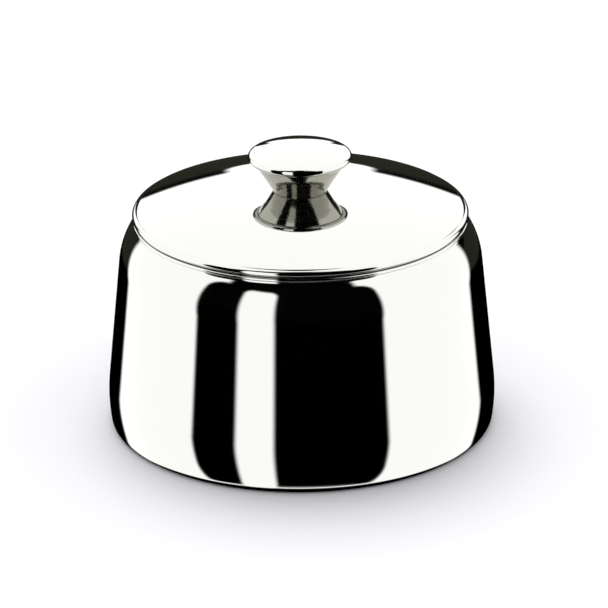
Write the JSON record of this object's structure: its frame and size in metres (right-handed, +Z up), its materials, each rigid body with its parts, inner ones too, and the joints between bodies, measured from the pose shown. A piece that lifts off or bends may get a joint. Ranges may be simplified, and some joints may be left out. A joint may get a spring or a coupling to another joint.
{
  "type": "lidded sugar bowl",
  "caption": "Round mirror-polished steel sugar bowl with a tapered wall, a rounded shoulder and a crowned lift-off lid with a conical knob.",
  "frame": {"origin": "centre of the standing ring, on the surface the bowl stands on", "axes": "+Z up along the bowl's axis of revolution; the bowl is round, so +X and +Y are free"},
  "size_m": [0.1, 0.1, 0.074],
  "materials": {
    "polished_steel": "mirror-polished stainless steel",
    "satin_steel": "satin stainless steel",
    "hardware_steel": "plain machined steel"
  },
  "bodies": {
    "bowl": {"bowl_body": "polished_steel"},
    "lid": {"lid_shell": "polished_steel", "lid_locating_ring": "satin_steel", "knob_cap": "polished_steel", "knob_cone": "polished_steel", "knob_boss": "hardware_steel", "knob_screw": "hardware_steel", "knob_washer": "hardware_steel"}
  },
  "joints": [
    {"name": "lid_lift", "type": "slide", "parent": "bowl", "child": "lid", "axis": [0, 0, 1], "range_m": [0, 0.06]}
  ]
}
